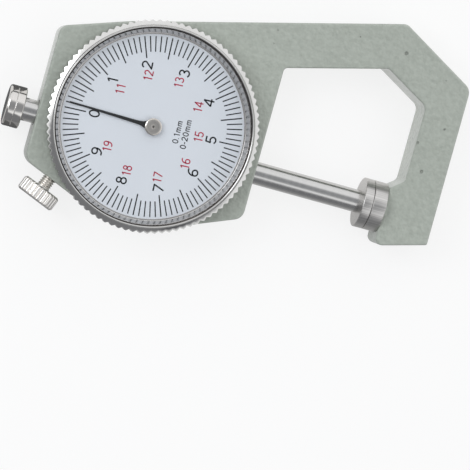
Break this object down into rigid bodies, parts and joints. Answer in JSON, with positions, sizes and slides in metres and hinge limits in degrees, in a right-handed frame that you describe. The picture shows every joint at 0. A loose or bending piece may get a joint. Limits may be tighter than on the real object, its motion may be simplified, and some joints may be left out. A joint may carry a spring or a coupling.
{
  "type": "dial thickness gauge",
  "caption": "Hand-held dial thickness gauge: a bow frame carries a fixed anvil and a sprung spindle, whose rack turns the pointer under a turnable bezel.",
  "frame": {"origin": "on the dial axis, at the gauge's flat back", "axes": "+X along the spindle from the knob to the anvil, +Y across the dial to the side where the bow leaves the body, +Z out of the dial"},
  "size_m": [0.0965, 0.0593, 0.0134],
  "materials": {
    "frame_paint": "grey-green textured enamel on die-cast metal",
    "brass": "turned or stamped",
    "ground_steel": "ground",
    "screw_steel": "turned",
    "spring_steel": "drawn wire or strip",
    "knob_steel": "turned and polished",
    "pointer_black": "black lacquer",
    "hub_metal": "turned, satin",
    "bezel_chrome": "turned and knurled, bright plated",
    "ring_metal": "bright turned",
    "crystal_clear": "clear acrylic",
    "dial_white": "pale satin enamel with printed scale",
    "lock_nickel": "nickel plated, straight knurl"
  },
  "bodies": {
    "frame": {"frame": "frame_paint", "left_bush": "brass", "right_bush": "brass", "anvil": "ground_steel", "rear_cover": "frame_paint", "rear_cover_screws": "screw_steel", "movement_plate": "brass", "plate_screws": "screw_steel", "pillars": "brass", "movement_bridge": "brass", "bridge_screws": "screw_steel", "arbor_bushes": "brass", "bezel_snap_ring": "spring_steel", "spring_anchor": "ground_steel", "return_spring": "spring_steel", "hairspring_stud": "brass", "hairspring": "spring_steel"},
    "spindle": {"spindle": "ground_steel", "contact_head": "ground_steel", "lifting_knob": "knob_steel", "guide_pin": "ground_steel", "spring_pin": "ground_steel"},
    "pointer": {"pinion_arbor": "brass", "pointer": "pointer_black", "pointer_hub": "hub_metal"},
    "take_up": {"take_up_arbor": "ground_steel", "take_up_gear": "brass", "hairspring_collet": "brass"},
    "bezel": {"bezel": "bezel_chrome", "crystal": "crystal_clear", "dial_ring": "ring_metal", "dial": "dial_white"},
    "lock_pad": {"lock_pad": "brass"},
    "lock_screw": {"lock_screw": "lock_nickel"}
  },
  "joints": [
    {"name": "spindle_slide", "type": "slide", "parent": "frame", "child": "spindle", "axis": [-1, 0, 0], "range_m": [0, 0.02], "stiffness_N_per_m": 40, "springref_m": -0.03, "deforming": ["return_spring"]},
    {"name": "pointer_turn", "type": "hinge", "parent": "frame", "child": "pointer", "pos_m": [0, 0, 0], "axis": [0, 0, 1], "continuous": true},
    {"name": "take_up_turn", "type": "hinge", "parent": "frame", "child": "take_up", "pos_m": [0, 0.00637, 0], "axis": [0, 0, 1], "continuous": true, "deforming": ["hairspring"]},
    {"name": "bezel_turn", "type": "hinge", "parent": "frame", "child": "bezel", "pos_m": [0, 0, 0], "axis": [0, 0, 1], "continuous": true},
    {"name": "lock_feed", "type": "slide", "parent": "frame", "child": "lock_pad", "axis": [0.3746, 0.9272, 0], "range_m": [-0.0005, 0.00035]},
    {"name": "lock_turn", "type": "hinge", "parent": "lock_pad", "child": "lock_screw", "pos_m": [-0.01265, -0.00369, 0.0057], "axis": [0.3746, 0.9272, 0], "continuous": true}
  ],
  "couplings": [
    {"joint": "pointer_turn", "follows": "spindle_slide", "rad_per_m": -628.32},
    {"joint": "take_up_turn", "follows": "spindle_slide", "rad_per_m": 209.44},
    {"joint": "lock_turn", "follows": "lock_feed", "rad_per_m": 12566}
  ]
}
